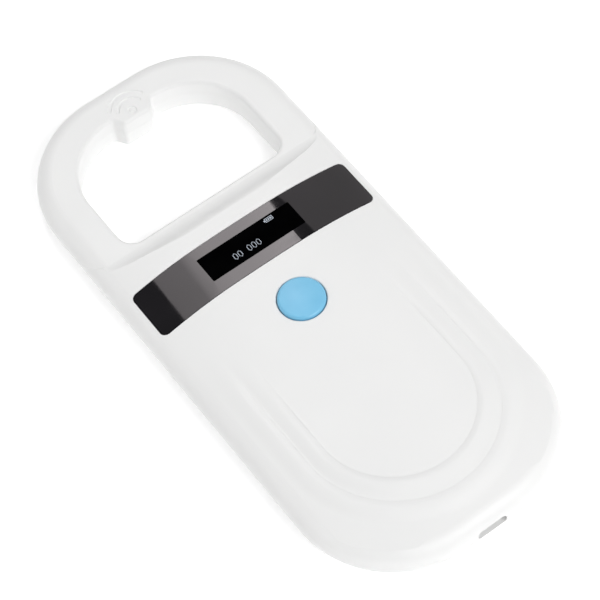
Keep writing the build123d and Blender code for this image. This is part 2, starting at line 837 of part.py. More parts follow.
with BuildPart() as battery_leads:
    add(wire_pair((lead_x - lead_pitch / 2, lead_x + lead_pitch / 2), lead_route, lead_diameter))

# ---------------------------------------------------------------- reading coil in the loop
coil_gap = 0.3
coil_width = 2.6
coil_bottom_z = 3.55
coil_top_z = 7.65
coil_edge = 0.6
coil_inner = hole_wall + coil_gap
coil_outer = coil_inner + coil_width

with BuildPart() as antenna_coil:
    with BuildSketch(Plane.XY.offset(coil_bottom_z)):
        add(plain_hole(coil_outer))
        add(plain_hole(coil_inner), mode=Mode.SUBTRACT)
    extrude(amount=coil_top_z - coil_bottom_z)
    fillet(antenna_coil.edges().group_by(Axis.Z)[-1] + antenna_coil.edges().group_by(Axis.Z)[0], coil_edge)

tape = 0.1
tape_length = 4.0
side_tape_y = 45.0
near_tape_x = 10.0
far_tape_x = 3.0
coil_x = hole_half_width + (coil_inner + coil_outer) / 2
coil_near_y = hole_near_y - (coil_inner + coil_outer) / 2
coil_far_y = hole_far_y + (coil_inner + coil_outer) / 2
coil_mid_z = (coil_bottom_z + coil_top_z) / 2
coil_height = coil_top_z - coil_bottom_z

with BuildPart() as coil_tape_bands:
    for x in (-coil_x, coil_x):
        with Locations((x, side_tape_y, coil_mid_z)):
            Box(coil_width + 2 * tape, tape_length, coil_height + 2 * tape)
            Box(coil_width, tape_length, coil_height, mode=Mode.SUBTRACT)
    for x, y in ((near_tape_x, coil_near_y), (far_tape_x, coil_far_y)):
        with Locations((x, y, coil_mid_z)):
            Box(tape_length, coil_width + 2 * tape, coil_height + 2 * tape)
            Box(tape_length, coil_width, coil_height, mode=Mode.SUBTRACT)

header_height = 2.4
header_width = 5.0
header_depth = 4.0
header_inset = 0.2          # it stands this far inside the board's edge
coil_lead_pitch = 2.5
coil_lead_diameter = 0.5
coil_face_y = hole_near_y - coil_outer
coil_route = [(board_far_y - header_inset, 6.9), (25.2, 6.9), (27.4, 5.6), (coil_face_y, 5.6)]

with BuildPart() as antenna_header:
    with BuildSketch(Plane.XY.offset(board_bottom_z - header_height)):
        with Locations((0, board_far_y - header_inset - header_depth / 2)):
            Rectangle(header_width, header_depth)
    extrude(amount=header_height)

with BuildPart() as antenna_leads:
    add(wire_pair((-coil_lead_pitch / 2, coil_lead_pitch / 2), coil_route, coil_lead_diameter))

# ---------------------------------------------------------------- data and charging inlet
inlet_y = board_near_y - 1.3
inlet_depth = 5.6
inlet_height = 2.7
inlet_half_top = 3.75
inlet_half_bottom = 2.7
inlet_sheet = 0.3
inlet_step = 1.5            # the mouth narrows beyond this distance from the board
inlet_corner = 0.3
inlet_top_z = board_bottom_z
inlet_bottom_z = board_bottom_z - inlet_height


def inlet_section(shrink):
    """D shaped mouth: wide against the board, narrower at the other side."""
    with BuildSketch() as section:
        with BuildLine():
            Polyline(
                (-inlet_half_top + shrink, inlet_top_z - shrink),
                (inlet_half_top - shrink, inlet_top_z - shrink),
                (inlet_half_top - shrink, inlet_top_z - inlet_step),
                (inlet_half_bottom - shrink / 2, inlet_bottom_z + shrink),
                (-inlet_half_bottom + shrink / 2, inlet_bottom_z + shrink),
                (-inlet_half_top + shrink, inlet_top_z - inlet_step),
                close=True,
            )
        make_face()
        fillet(section.vertices(), inlet_corner)
    return section.sketch


with BuildPart() as usb_shell:
    with BuildSketch(Plane.XZ.offset(-inlet_y)):
        add(inlet_section(0))
        add(inlet_section(inlet_sheet), mode=Mode.SUBTRACT)
    extrude(amount=-inlet_depth + inlet_sheet)
    with BuildSketch(Plane.XZ.offset(-inlet_y - inlet_depth + inlet_sheet)):
        add(inlet_section(0))
    extrude(amount=-inlet_sheet)

tongue_inset = 0.8          # it stops this far inside the mouth
tongue_width = 3.6
tongue_thickness = 0.6
tongue_top = 0.75           # below the board's underside
tongue_root_depth = 1.2
tongue_root_width = 4.6
tongue_root_height = 1.5
tongue_root_top = 0.55
contact_inset = 1.1
contact_length = 2.4
contact_width = 0.3
contact_thickness = 0.1
contact_pitch = 0.65
contact_count = 5

with BuildPart() as usb_tongue:
    with BuildSketch(Plane.XZ.offset(-inlet_y - tongue_inset)):
        with Locations((0, inlet_top_z - tongue_top - tongue_thickness / 2)):
            Rectangle(tongue_width, tongue_thickness)
    extrude(amount=-inlet_depth + inlet_sheet + tongue_inset + tongue_root_depth)
    with BuildSketch(Plane.XZ.offset(-inlet_y - inlet_depth + inlet_sheet + tongue_root_depth)):
        with Locations((0, inlet_top_z - tongue_root_top - tongue_root_height / 2)):
            Rectangle(tongue_root_width, tongue_root_height)
    extrude(amount=-tongue_root_depth)

contact_z = inlet_top_z - tongue_top - tongue_thickness - contact_thickness / 2

with BuildPart() as usb_contacts:
    for i in range(contact_count):
        with BuildSketch(Plane.XZ.offset(-inlet_y - contact_inset)):
            with Locations(((i - (contact_count - 1) / 2) * contact_pitch, contact_z)):
                Rectangle(contact_width, contact_thickness)
        extrude(amount=-contact_length)


# ---------------------------------------------------------------- components on the board
chip_stand = 0.1            # gap between a chip's body and the board
chip_edge = 0.15
chip_height = 1.3
leg_spacing = 0.8
chip_leg_width = 0.35
chip_leg_length = 1.2
chip_leg_thickness = 0.3
leg_reach = 0.4             # middle of a leg, out from the chip's side
end_step = 0.04             # a component's metal ends stand this far proud of its body


def leaded_chip(x, y, length, breadth, height, legs, four_sides):
    """Flat moulded package with gull wing legs, standing on the board."""
    with BuildPart() as chip:
        with BuildSketch(Plane.XY.offset(board_top_z + chip_stand)):
            with Locations((x, y)):
                Rectangle(length, breadth)
        extrude(amount=height)
        chamfer(chip.edges().group_by(Axis.Z)[-1], chip_edge)
        first = -(legs - 1) * leg_spacing / 2
        for i in range(legs):
            along = first + i * leg_spacing
            places = [(x + along, y + s * (breadth / 2 + leg_reach)) for s in (-1, 1)]
            with BuildSketch(Plane.XY.offset(board_top_z)):
                with Locations(*places):
                    Rectangle(chip_leg_width, chip_leg_length)
            extrude(amount=chip_leg_thickness)
            if four_sides:
                places = [(x + s * (length / 2 + leg_reach), y + along) for s in (-1, 1)]
                with BuildSketch(Plane.XY.offset(board_top_z)):
                    with Locations(*places):
                        Rectangle(chip_leg_length, chip_leg_width)
                extrude(amount=chip_leg_thickness)
    return chip.part


def chip_group(points, length, breadth, height, end_length):
    """Small two ended components, each a separate block with thicker metal ends."""
    with BuildPart() as group:
        for x, y in points:
            with BuildSketch(Plane.XY.offset(board_top_z + end_step)):
                with Locations((x, y)):
                    Rectangle(length - 2 * end_length, breadth - 2 * end_step)
            extrude(amount=height - 2 * end_step)
            with BuildSketch(Plane.XY.offset(board_top_z)):
                with Locations((x - (length - end_length) / 2, y), (x + (length - end_length) / 2, y)):
                    Rectangle(end_length, breadth)
            extrude(amount=height)
    return group.part


with BuildPart() as microcontroller:
    add(leaded_chip(-10, -24, 7, 7, chip_height, 8, True))

with BuildPart() as reader_chip:
    add(leaded_chip(15, -2, 7, 4, chip_height, 8, False))

with BuildPart() as memory_chip:
    add(leaded_chip(6, -22, 5, 4, chip_height, 4, False))

with BuildPart() as charger_chip:
    add(leaded_chip(8, -62, 5, 4, chip_height, 4, False))

crystal_height = 0.9
crystal_edge = 0.2

with BuildPart() as crystal:
    with BuildSketch(Plane.XY.offset(board_top_z)):
        with Locations((-10, -34)):
            RectangleRounded(5, 3.2, 0.4)
    extrude(amount=crystal_height)
    fillet(crystal.edges().group_by(Axis.Z)[-1], crystal_edge)

inductor_size = 5.0
inductor_height = 1.7
inductor_edge = 0.4

with BuildPart() as power_inductor:
    with BuildSketch(Plane.XY.offset(board_top_z)):
        with Locations((-11, -62)):
            RectangleRounded(inductor_size, inductor_size, 1.0)
    extrude(amount=inductor_height)
    fillet(power_inductor.edges().group_by(Axis.Z)[-1], inductor_edge)

buzzer_size = 9.0
buzzer_height = 1.8
buzzer_port_radius = 1.3
buzzer_port_depth = 0.6

with BuildPart() as buzzer:
    with BuildSketch(Plane.XY.offset(board_top_z)):
        with Locations((11, -46)):
            RectangleRounded(buzzer_size, buzzer_size, 1.0)
    extrude(amount=buzzer_height)
    with BuildSketch(Plane.XY.offset(board_top_z + buzzer_height)):
        with Locations((11, -46)):
            Circle(buzzer_port_radius)
    extrude(amount=-buzzer_port_depth, mode=Mode.SUBTRACT)

with BuildPart() as ceramic_capacitors:
    supply_row = [(-18, -16 - 3.5 * i) for i in range(5)]
    charger_row = [(0, -56 - 3 * i) for i in range(4)]
    add(chip_group(supply_row + charger_row, 2, 1.25, 0.9, 0.4))

with BuildPart() as chip_resistors:
    add(chip_group([(x, -13.5 - 2.5 * i) for x in (14, 18) for i in range(6)], 1.6, 0.8, 0.45, 0.3))

with BuildPart() as tuning_capacitors:
    add(chip_group([(-15, 2.5 - 4.2 * i) for i in range(3)], 4.5, 3.2, 1.6, 0.6))

# ---------------------------------------------------------------- hand over
pieces = {
    "top_shell": top_shell,
    "bottom_shell": bottom_shell,
    "display_fascia": display_fascia,
    "fascia_adhesive": fascia_adhesive,
    "display_lens": display_lens,
    "oled_panel": oled_panel,
    "oled_foam": oled_foam,
    "oled_flex": oled_flex,
    "button_cap": button_cap,
    "switch_body": switch_body,
    "switch_cover": switch_cover,
    "switch_plunger": switch_plunger,
    "switch_legs": switch_legs,
    "main_board": main_board,
    "board_screws": board_screws,
    "shell_screws": shell_screws,
    "battery_cell": battery_cell,
    "battery_foam": battery_foam,
    "battery_protection_board": battery_protection_board,
    "battery_leads": battery_leads,
    "battery_plug": battery_plug,
    "battery_socket": battery_socket,
    "antenna_coil": antenna_coil,
    "coil_tape_bands": coil_tape_bands,
    "antenna_header": antenna_header,
    "antenna_leads": antenna_leads,
    "usb_shell": usb_shell,
    "usb_tongue": usb_tongue,
    "usb_contacts": usb_contacts,
    "microcontroller": microcontroller,
    "reader_chip": reader_chip,
    "memory_chip": memory_chip,
    "charger_chip": charger_chip,
    "crystal": crystal,
    "power_inductor": power_inductor,
    "buzzer": buzzer,
    "ceramic_capacitors": ceramic_capacitors,
    "chip_resistors": chip_resistors,
    "tuning_capacitors": tuning_capacitors,
}

for label, piece in pieces.items():
    piece.part.label = label
    export_step(piece.part, f"parts/{label}.step")
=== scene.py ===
import json
import math

import bmesh
import bpy
from mathutils import Matrix, Vector


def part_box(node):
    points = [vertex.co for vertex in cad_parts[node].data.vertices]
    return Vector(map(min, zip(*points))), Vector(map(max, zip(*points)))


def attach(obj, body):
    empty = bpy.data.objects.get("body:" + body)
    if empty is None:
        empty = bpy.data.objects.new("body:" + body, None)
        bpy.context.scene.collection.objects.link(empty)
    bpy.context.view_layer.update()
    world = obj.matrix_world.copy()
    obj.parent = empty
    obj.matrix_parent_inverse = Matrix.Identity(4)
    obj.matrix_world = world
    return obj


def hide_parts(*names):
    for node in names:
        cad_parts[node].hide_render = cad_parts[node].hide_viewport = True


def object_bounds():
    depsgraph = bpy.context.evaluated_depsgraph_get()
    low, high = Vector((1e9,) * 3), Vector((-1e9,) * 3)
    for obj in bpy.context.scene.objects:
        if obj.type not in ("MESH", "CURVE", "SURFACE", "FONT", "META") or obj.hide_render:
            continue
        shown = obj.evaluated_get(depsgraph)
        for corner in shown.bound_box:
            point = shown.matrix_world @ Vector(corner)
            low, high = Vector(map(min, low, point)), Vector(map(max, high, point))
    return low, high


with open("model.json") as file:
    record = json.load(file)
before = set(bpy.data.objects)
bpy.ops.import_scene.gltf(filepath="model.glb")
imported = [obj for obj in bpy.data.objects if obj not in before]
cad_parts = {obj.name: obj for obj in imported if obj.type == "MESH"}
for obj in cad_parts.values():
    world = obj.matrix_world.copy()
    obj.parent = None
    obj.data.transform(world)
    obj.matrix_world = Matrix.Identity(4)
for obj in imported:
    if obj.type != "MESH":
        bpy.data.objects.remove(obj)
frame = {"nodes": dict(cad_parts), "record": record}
cad_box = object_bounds()

MM = 0.001
scene = bpy.context.scene
nodes = frame["nodes"]
slot_of = {part["node"]: part["material_slot"] for part in frame["record"]["subparts"]}


# ---------------------------------------------------------------- material helpers
# sizes and heights of textures are in metres
NOISE_RANGE = (0.3, 0.7)    # most of a noise texture's values lie in this range


def set_stops(ramp, stops):
    """Give a colour ramp its (position, (r, g, b)) stops."""
    elements = ramp.color_ramp.elements
    while len(elements) < len(stops):
        elements.new(0.5)
    for element, (position, rgb) in zip(elements, stops):
        element.position = position
        element.color = (*rgb, 1.0)


def spread(tree, value, source, target):
    """Map a value from one range to another."""
    node = tree.nodes.new("ShaderNodeMapRange")
    for side, (low, high) in (("From", source), ("To", target)):
        node.inputs[side + " Min"].default_value = low
        node.inputs[side + " Max"].default_value = high
    tree.links.new(value, node.inputs["Value"])
    return node.outputs["Result"]


class Surface:
    """A Principled material and short ways to add nodes to it."""

    def __init__(self, name, metallic=0.0, specular=0.5):
        self.material = bpy.data.materials.new(name)
        self.material.use_nodes = True
        self.tree = self.material.node_tree
        self.shader = self.tree.nodes["Principled BSDF"]
        self.shader.inputs["Metallic"].default_value = metallic
        self.shader.inputs["Specular IOR Level"].default_value = specular
        self.place = self.tree.nodes.new("ShaderNodeTexCoord").outputs["Object"]

    def link(self, source, target):
        self.tree.links.new(source, target)

    def stretched(self, scale):
        """The piece's own coordinates, stretched by a factor on each axis."""
        mapping = self.tree.nodes.new("ShaderNodeMapping")
        mapping.inputs["Scale"].default_value = scale
        self.link(self.place, mapping.inputs["Vector"])
        return mapping.outputs["Vector"]

    def noise(self, size, detail=3.0, place=None, rough=0.5):
        """Cloudy noise whose features are about size metres across."""
        node = self.tree.nodes.new("ShaderNodeTexNoise")
        node.inputs["Scale"].default_value = 1.0 / size
        node.inputs["Detail"].default_value = detail
        node.inputs["Roughness"].default_value = rough
        self.link(place or self.place, node.inputs["Vector"])
        return node.outputs["Fac"]

    def cells(self, size):
        """Small pits about size metres across."""
        node = self.tree.nodes.new("ShaderNodeTexVoronoi")
        node.inputs["Scale"].default_value = 1.0 / size
        self.link(self.place, node.inputs["Vector"])
        return node.outputs["Distance"]

    def join(self, kind, first, second):
        """Combine two values, or a value and a number, by a math operation."""
        node = self.tree.nodes.new("ShaderNodeMath")
        node.operation = kind
        for socket, value in zip(node.inputs, (first, second)):
            if isinstance(value, (int, float)):
                socket.default_value = value
            else:
                self.link(value, socket)
        return node.outputs["Value"]

    def colour(self, value, *stops):
        """Colour from a value by a ramp of (position, (r, g, b)) stops."""
        ramp = self.tree.nodes.new("ShaderNodeValToRGB")
        set_stops(ramp, stops)
        self.link(value, ramp.inputs["Fac"])
        self.link(ramp.outputs["Color"], self.shader.inputs["Base Color"])

    def rough(self, value, low, high):
        """Let a noise value move the roughness between two limits."""
        self.link(spread(self.tree, value, NOISE_RANGE, (low, high)), self.shader.inputs["Roughness"])

    def bump(self, value, height, strength):
        """Raise the surface by up to height metres where the value is high."""
        node = self.tree.nodes.new("ShaderNodeBump")
        node.inputs["Strength"].default_value = strength
        node.inputs["Distance"].default_value = height
        self.link(value, node.inputs["Height"])
        self.link(node.outputs["Normal"], self.shader.inputs["Normal"])

    def glow(self, rgb, strength):
        self.shader.inputs["Emission Color"].default_value = (*rgb, 1.0)
        self.shader.inputs["Emission Strength"].default_value = strength


def shade(rgb, factor):
    """A darker or lighter tone of a colour."""
    return tuple(min(1.0, c * factor) for c in rgb)


# ---------------------------------------------------------------- materials
def moulded_shell():
    """White injection moulded ABS with a fine spark-eroded grain and faint handling marks."""
    m = Surface("moulded_shell", specular=0.45)
    cloud = m.noise(0.03, 2.0)
    m.colour(cloud, (0.3, (0.782, 0.783, 0.780)), (0.7, (0.802, 0.801, 0.797)))
    grain = m.noise(0.00035, 2.0)
    pits = m.cells(0.00055)
    smudge = m.noise(0.011, 4.0, rough=0.6)
    marks = m.join("ADD", m.join("MULTIPLY", grain, 0.4), m.join("MULTIPLY", smudge, 0.6))
    m.rough(marks, 0.36, 0.50)
    m.bump(m.join("ADD", grain, m.join("MULTIPLY", pits, 0.6)), 0.000012, 0.5)
    return m.material


def glossy_fascia():
    """Polished black panel with faint wiping streaks and dust haze."""
    m = Surface("glossy_fascia", specular=0.6)
    haze = m.noise(0.02, 3.0)
    m.colour(haze, (0.35, (0.006, 0.006, 0.007)), (0.7, (0.012, 0.011, 0.013)))
    streaks = m.noise(0.0016, 3.0, m.stretched((0.06, 1.0, 1.0)))
    smudge = m.noise(0.009, 5.0, rough=0.65)
    marks = m.join("ADD", m.join("MULTIPLY", streaks, 0.35), m.join("MULTIPLY", smudge, 0.65))
    m.rough(marks, 0.025, 0.065)
    m.bump(m.noise(0.004, 1.0), 0.000006, 0.35)
    # painted reflection colour: the pinkish specular tint stands in for warm lamp light seen in the
    # panel
    m.shader.inputs["Specular Tint"].default_value = (1.0, 0.93, 0.945, 1.0)
    return m.material


def dark_lens():
    """Unlit display window: almost no reflection."""
    m = Surface("dark_lens", specular=0.0)
    m.colour(m.noise(0.004, 2.0), (0.3, (0.0006, 0.0006, 0.0007)), (0.7, (0.0012, 0.0012, 0.0014)))
    m.rough(m.noise(0.003, 4.0), 0.16, 0.28)
    m.bump(m.noise(0.0009, 2.0), 0.000002, 0.2)
    return m.material


def button_plastic():
    """Sky blue satin plastic whose polish varies a little from place to place."""
    m = Surface("button_plastic", specular=0.5)
    cloud = m.noise(0.005, 2.0)
    m.colour(cloud, (0.3, (0.175, 0.495, 0.735)), (0.7, (0.198, 0.53, 0.765)))
    m.rough(m.noise(0.0022, 4.0), 0.28, 0.38)
    m.bump(m.noise(0.0003, 2.0), 0.000008, 0.45)
    return m.material


def lit_finish():
    """Glowing pixels, a little uneven in brightness."""
    m = Surface("lit_pixels", specular=0.1)
    m.colour(m.noise(0.0004, 1.0), (0.3, (0.05, 0.055, 0.06)), (0.7, (0.08, 0.085, 0.09)))
    m.glow((0.80, 0.88, 1.0), 0.52)
    m.rough(m.noise(0.0006, 2.0), 0.4, 0.6)
    return m.material


def plain_plastic(name, rgb, roughness, grain=0.0006, height=0.00001):
    """Moulded plastic, rubber or film: mottled colour, uneven gloss and a fine grain."""
    m = Surface(name)
    m.colour(m.noise(0.006, 3.0), (0.3, shade(rgb, 0.86)), (0.7, shade(rgb, 1.1)))
    m.rough(m.noise(0.002, 4.0), roughness * 0.8, min(1.0, roughness * 1.25))
    m.bump(m.noise(grain, 2.0), height, 0.6)
    return m.material


def brushed_metal(name, rgb, roughness, along=(0.05, 1.0, 1.0)):
    """Drawn or rolled metal with fine lines along one axis."""
    m = Surface(name, metallic=1.0)
    lines = m.noise(0.00025, 3.0, m.stretched(along))
    m.colour(m.noise(0.004, 3.0), (0.3, shade(rgb, 0.82)), (0.7, shade(rgb, 1.08)))
    m.rough(lines, roughness * 0.7, roughness * 1.4)
    m.bump(lines, 0.000004, 0.5)
    return m.material


def circuit_board():
    """Green solder mask over a faint lattice of tracks and small plated holes."""
    m = Surface("circuit_board")
    tracks = m.noise(0.0016, 1.0, m.stretched((0.25, 1.0, 1.0)))
    m.colour(
        tracks,
        (0.40, (0.010, 0.085, 0.035)),
        (0.48, (0.012, 0.115, 0.045)),
        (0.52, (0.030, 0.200, 0.080)),
        (0.60, (0.014, 0.125, 0.050)),
    )
    m.rough(m.noise(0.003, 3.0), 0.24, 0.38)
    m.bump(tracks, 0.00003, 0.4)
    return m.material


def open_foam():
    """Black open-celled foam, with painted shade darkening the middle of each pore."""
    m = Surface("open_foam", specular=0.1)
    pores_with_shade = m.cells(0.0004)
    # painted shade: the colour is darkest at the sunken middle of each pore
    m.colour(pores_with_shade, (0.1, (0.010, 0.010, 0.011)), (0.6, (0.055, 0.055, 0.058)))
    m.rough(m.noise(0.001), 0.85, 1.0)
    m.bump(pores_with_shade, 0.0001, 0.8)
    return m.material


def pouch_foil():
    """Crinkled silver laminate of the cell."""
    m = Surface("pouch_foil", metallic=0.85)
    creases = m.noise(0.006, 6.0, m.stretched((1.0, 0.5, 1.0)), rough=0.7)
    m.colour(m.noise(0.01), (0.3, (0.60, 0.61, 0.63)), (0.7, (0.74, 0.75, 0.77)))
    m.rough(creases, 0.22, 0.42)
    m.bump(creases, 0.0002, 0.5)
    return m.material


def enamelled_copper():
    """Wound wire: fine parallel ridges stacked in height, with painted shade darkening the grooves
    between windings.
    """
    m = Surface("enamelled_copper", metallic=0.9)
    winding_bands_with_shade = m.tree.nodes.new("ShaderNodeTexWave")
    winding_bands_with_shade.bands_direction = "Z"
    winding_bands_with_shade.inputs["Scale"].default_value = 1600.0
    winding_bands_with_shade.inputs["Distortion"].default_value = 0.6
    m.link(m.place, winding_bands_with_shade.inputs["Vector"])
    # painted shade: the colour goes dark where the bands dip into the grooves between windings
    m.colour(winding_bands_with_shade.outputs["Fac"], (0.1, (0.22, 0.065, 0.020)), (0.7, (0.62, 0.235, 0.085)))
    m.rough(m.noise(0.002), 0.24, 0.40)
    m.bump(winding_bands_with_shade.outputs["Fac"], 0.00008, 0.8)
    return m.material


def fired_ceramic(name, rgb):
    """Dull sintered body with a speckled tone."""
    m = Surface(name)
    m.colour(m.noise(0.0008, 4.0), (0.35, shade(rgb, 0.8)), (0.65, shade(rgb, 1.15)))
    m.rough(m.noise(0.0005, 3.0), 0.42, 0.62)
    m.bump(m.noise(0.0002, 3.0), 0.00001, 0.6)
    return m.material


finishes = {
    "shell_white": moulded_shell(),
    "fascia_black": glossy_fascia(),
    "lens_black": dark_lens(),
    "oled_glass": plain_plastic("oled_glass", (0.006, 0.006, 0.008), 0.12, 0.003, 0.000002),
    "button_blue": button_plastic(),
    "black_plastic": plain_plastic("black_plastic", (0.022, 0.022, 0.024), 0.5),
    "steel": brushed_metal("rolled_steel", (0.62, 0.61, 0.59), 0.28),
    "gold_contact": brushed_metal("gold_contact", (0.83, 0.60, 0.25), 0.22, (1.0, 0.05, 1.0)),
    "board_green": circuit_board(),
    "foam": open_foam(),
    "adhesive": plain_plastic("adhesive_film", (0.035, 0.034, 0.033), 0.6, 0.0009),
    "pouch_foil": pouch_foil(),
    "tape_amber": plain_plastic("amber_film", (0.62, 0.30, 0.035), 0.25, 0.002, 0.000006),
    "wire_sleeve": plain_plastic("wire_sleeve", (0.45, 0.022, 0.020), 0.38, 0.0008),
    "white_nylon": plain_plastic("natural_nylon", (0.74, 0.70, 0.60), 0.45),
    "copper_winding": enamelled_copper(),
    "ceramic_body": fired_ceramic("tan_ceramic", (0.42, 0.30, 0.19)),
    "ferrite": fired_ceramic("dark_ferrite", (0.045, 0.044, 0.046)),
}


for name, node in nodes.items():
    node.data.materials.clear()
    node.data.materials.append(finishes[slot_of[name]])


# ---------------------------------------------------------------- soft ridges on the deck
# The CAD upper shell carries its two ridges with plain flat slopes. This copy of its
# mesh has a finely cut deck, where the same ridges get soft S shaped slopes.
CORNER_X, CORNER_Y = 7.6 * MM, 52.0 * MM    # middle of a case corner's rounding
CORNER_RADIUS = 28.0 * MM
DECK_Z = 13.5 * MM
CROWN_INSET, CROWN_RADIUS = 25.6 * MM, 121.633 * MM
RIDGE_RISE = 0.46 * MM
RIDGES = (   # middle of the round end, then where the ridge starts, peaks and ends
    (-42.0 * MM, 19.6 * MM, 21.7 * MM, 25.6 * MM),
    (-43.2 * MM, 24.6 * MM, 26.9 * MM, 30.9 * MM),
)
ARM_FULL_Y, ARM_END_Y = -32.0 * MM, -2.5 * MM
RIDGE_CELL = 0.8 * MM          # spacing of the fine cuts
NORMAL_STEP = 0.02 * MM        # how far apart heights are compared to get a slope
DECK_BAND = 0.35 * MM          # the CAD deck with its ridges stays this close to the plain crown
DECK_DROP = 3.0 * MM           # nothing of the deck is lower than this under its top
DECK_FACING = 0.7              # least upward part of a deck face's normal
WELD, CUT_REACH = 0.0005 * MM, 0.0001 * MM
FINE_X, FINE_NEAR_Y, FINE_FAR_Y = 31.4 * MM, -75.0 * MM, -0.8 * MM    # area with the ridges
PLAIN_X, PLAIN_NEAR_Y = 13.5 * MM, -56.0 * MM                          # area between their arms


def ease(t):
    """Smooth step from 0 to 1."""
    t = min(1.0, max(0.0, t))
    return t * t * (3.0 - 2.0 * t)


def crown(x, y):
    """Height of the deck without its ridges."""
    inset = CORNER_RADIUS - math.hypot(max(abs(x) - CORNER_X, 0.0), max(abs(y) - CORNER_Y, 0.0))
    run = max(CROWN_INSET - inset, 0.0)
    return DECK_Z - CROWN_RADIUS + math.sqrt(CROWN_RADIUS**2 - run**2)


def ridged(x, y):
    """Height of the deck with its ridges."""
    height = crown(x, y)
    fade = ease((ARM_END_Y - y) / (ARM_END_Y - ARM_FULL_Y))
    for middle_y, start, peak, end in RIDGES:
        reach = abs(x) if y > middle_y else math.hypot(x, y - middle_y)
        slope = (reach - start) / (peak - start) if reach < peak else (end - reach) / (end - peak)
        height += RIDGE_RISE * fade * ease(slope)
    return height


def ridged_normal(x, y):
    across = (ridged(x + NORMAL_STEP, y) - ridged(x - NORMAL_STEP, y)) / (2 * NORMAL_STEP)
    along = (ridged(x, y + NORMAL_STEP) - ridged(x, y - NORMAL_STEP)) / (2 * NORMAL_STEP)
    return Vector((-across, -along, 1.0)).normalized()


def is_deck(face):
    inner = [v.co for v in face.verts if abs(v.co.x) < CORNER_RADIUS]
    near = all(abs(co.z - crown(co.x, co.y)) < DECK_BAND for co in inner)
    return face.normal.z > DECK_FACING and near and all(v.co.z > DECK_Z - DECK_DROP for v in face.verts)


def in_fine_area(face):
    x, y = abs(face.calc_center_median().x), face.calc_center_median().y
    return x < FINE_X and FINE_NEAR_Y < y < FINE_FAR_Y and (x > PLAIN_X or y < PLAIN_NEAR_Y)


def with_edges(faces):
    """The faces with their edges and corners, in the form that a cut wants."""
    edges = {e for f in faces for e in f.edges}
    corners = {v for f in faces for v in f.verts}
    return list(faces) + list(edges) + list(corners)


def cut_lines(mesh, geometry, places, axis):
    """Cut the geometry at each place along an axis."""
    for place in places:
        cut = bmesh.ops.bisect_plane(
            mesh, geom=geometry, dist=CUT_REACH, plane_co=axis * place, plane_no=axis
        )
        geometry = cut["geom"]
    return geometry


def ladder(low, high):
    """Even places between two ends, about a cell apart."""
    count = round((high - low) / RIDGE_CELL)
    return [low + (high - low) * i / count for i in range(1, count)]


def cut_and_raise_deck(mesh):
    """Cut the ridged part of the deck finely, mark its faces and set their heights."""
    marks = mesh.faces.layers.int.new("fine")
    bmesh.ops.remove_doubles(mesh, verts=mesh.verts, dist=WELD)
    across, along = Vector((1.0, 0.0, 0.0)), Vector((0.0, 1.0, 0.0))
    geometry = with_edges([f for f in mesh.faces if is_deck(f)])
    geometry = cut_lines(mesh, geometry, (-FINE_X, -PLAIN_X, PLAIN_X, FINE_X), across)
    geometry = cut_lines(mesh, geometry, (FINE_NEAR_Y, PLAIN_NEAR_Y, FINE_FAR_Y), along)
    fine = [f for f in geometry if isinstance(f, bmesh.types.BMFace) and in_fine_area(f)]
    geometry = cut_lines(mesh, with_edges(fine), ladder(-FINE_X, FINE_X), across)
    geometry = cut_lines(mesh, geometry, ladder(FINE_NEAR_Y, FINE_FAR_Y), along)
    for face in geometry:
        if isinstance(face, bmesh.types.BMFace):
            face[marks] = 1
            for vertex in face.verts:
                vertex.co.z = ridged(vertex.co.x, vertex.co.y)


def set_normals(data):
    """Ridge normals on the marked faces, and the CAD's own normals on all others."""
    kept = data.attributes["kept_normal"].data
    fine = data.attributes["fine"].data
    normals = [Vector(kept[i].vector) for i in range(len(data.loops))]
    for face in data.polygons:
        face.use_smooth = True
        if fine[face.index].value:
            for i in face.loop_indices:
                x, y, _ = data.vertices[data.loops[i].vertex_index].co
                normals[i] = ridged_normal(x, y)
    data.normals_split_custom_set(normals)
    data.attributes.remove(data.attributes["kept_normal"])
    data.attributes.remove(data.attributes["fine"])


def soft_ridges():
    """The copy of the upper shell that stands in for the CAD one."""
    data = nodes["top_shell"].data.copy()
    normals = [0.0] * (3 * len(data.loops))
    data.corner_normals.foreach_get("vector", normals)
    data.attributes.new("kept_normal", "FLOAT_VECTOR", "CORNER").data.foreach_set("vector", normals)
    mesh = bmesh.new()
    mesh.from_mesh(data)
    cut_and_raise_deck(mesh)
    mesh.to_mesh(data)
    mesh.free()
    set_normals(data)
    piece = bpy.data.objects.new("soft_ridged_shell", data)
    scene.collection.objects.link(piece)
    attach(piece, "case")
    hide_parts("top_shell")


soft_ridges()


# ---------------------------------------------------------------- lit characters on the display
PIXEL = 0.1749 * MM       # pitch of the display's pixels
PIXEL_GAP = 0.012 * MM
PIXEL_RISE = 0.012 * MM   # how far a lit pixel's tile stands out of the window

DIGITS_AT = (0.281, 0.342)     # left edge and middle height, as shares of the window
BATTERY_AT = (0.709, 0.855)
ZERO = ("  ##  ", " #  # ") + ("#    #",) * 7 + (" #  # ", "  ##  ")
CELL_PIXELS = 8           # width of one character's cell
CHARACTER_CELLS = (0, 1, 3, 4, 5)
BATTERY = (
    "  #############",
    "  #           #",
    "### ## ## ### #",
    "### ## ## ### #",
    "### ## ## ### #",
    "  #           #",
    "  #############",
)

window_low, window_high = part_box("display_lens")
window = window_high - window_low


def lit_tiles(mesh, marks, left, centre_y):
    """One small raised tile for each mark of a drawing."""
    top = centre_y + 0.5 * len(marks) * PIXEL
    for row, line in enumerate(marks):
        for column, mark in enumerate(line):
            if mark == "#":
                place = (left + (column + 0.5) * PIXEL, top - (row + 0.5) * PIXEL, window_high.z)
                size = (PIXEL - PIXEL_GAP, PIXEL - PIXEL_GAP, 2 * PIXEL_RISE, 1.0)
                bmesh.ops.create_cube(mesh, matrix=Matrix.Translation(place) @ Matrix.Diagonal(size))


